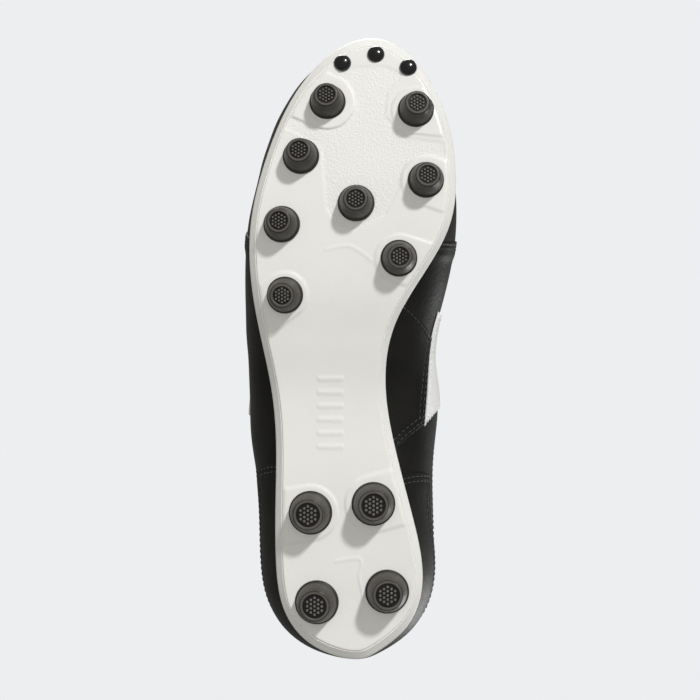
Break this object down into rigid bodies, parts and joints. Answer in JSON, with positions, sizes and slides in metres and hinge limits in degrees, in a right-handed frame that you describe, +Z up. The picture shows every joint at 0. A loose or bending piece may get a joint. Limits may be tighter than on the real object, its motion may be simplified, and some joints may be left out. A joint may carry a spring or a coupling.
{
  "type": "soccer cleat",
  "caption": "Right low-cut leather soccer cleat on a moulded firm-ground plate with conical studs, toe nubs, a padded collar, threaded laces and a folding tongue.",
  "frame": {"origin": "centre of the footprint's bounding box, on the ground the studs stand on", "axes": "+X to the toe, +Y to the inner (medial) side of this right foot, +Z up"},
  "size_m": [0.2885, 0.0988, 0.131],
  "materials": {
    "black_leather": "fine-grained, satin",
    "white_leather": "smooth, satin",
    "white_plastic": "moulded, satin with stippled field",
    "black_stud_plastic": "satin",
    "black_gloss_plastic": "polished",
    "spring_steel": "plain",
    "fibre_board": "pressed fibre",
    "foam": "open-cell foam",
    "lining_cloth": "woven",
    "lace_cotton": "flat woven"
  },
  "bodies": {
    "boot": {"vamp": "black_leather", "quarter_lateral": "black_leather", "quarter_medial": "black_leather", "eyestay_lateral": "black_leather", "eyestay_medial": "black_leather", "arch_panel_medial": "black_leather", "heel_foxing": "black_leather", "heel_patch": "black_leather", "tongue": "black_leather", "saddle_panel_lateral": "white_leather", "saddle_panel_medial": "white_leather", "outsole_plate": "white_plastic", "forefoot_stud_1": "black_stud_plastic", "forefoot_stud_2": "black_stud_plastic", "forefoot_stud_3": "black_stud_plastic", "forefoot_stud_4": "black_stud_plastic", "forefoot_stud_5": "black_stud_plastic", "forefoot_stud_6": "black_stud_plastic", "forefoot_stud_7": "black_stud_plastic", "forefoot_stud_8": "black_stud_plastic", "heel_stud_1": "black_stud_plastic", "heel_stud_2": "black_stud_plastic", "heel_stud_3": "black_stud_plastic", "heel_stud_4": "black_stud_plastic", "toe_nub_1": "black_gloss_plastic", "toe_nub_2": "black_gloss_plastic", "toe_nub_3": "black_gloss_plastic", "shank": "spring_steel", "insole_board": "fibre_board", "toe_puff": "fibre_board", "heel_counter": "fibre_board", "heel_wedge": "foam", "sockliner_foam": "foam", "collar_padding": "foam", "tongue_padding": "foam", "sockliner_cover": "lining_cloth", "vamp_lining": "lining_cloth", "quarter_lining_lateral": "lining_cloth", "quarter_lining_medial": "lining_cloth", "heel_lining": "lining_cloth", "collar_lining": "lining_cloth", "tongue_lining": "lining_cloth", "lace": "lace_cotton", "lace_aglets": "black_gloss_plastic"},
    "tongue_flap": {"tongue_flap": "black_leather", "tongue_flap_padding": "foam", "tongue_flap_lining": "lining_cloth"}
  },
  "joints": [
    {"name": "tongue_fold", "type": "hinge", "parent": "boot", "child": "tongue_flap", "pos_m": [-0.03384, -0.00033, 0.10802], "axis": [0, 1, 0], "range_deg": [-8, 100]}
  ]
}
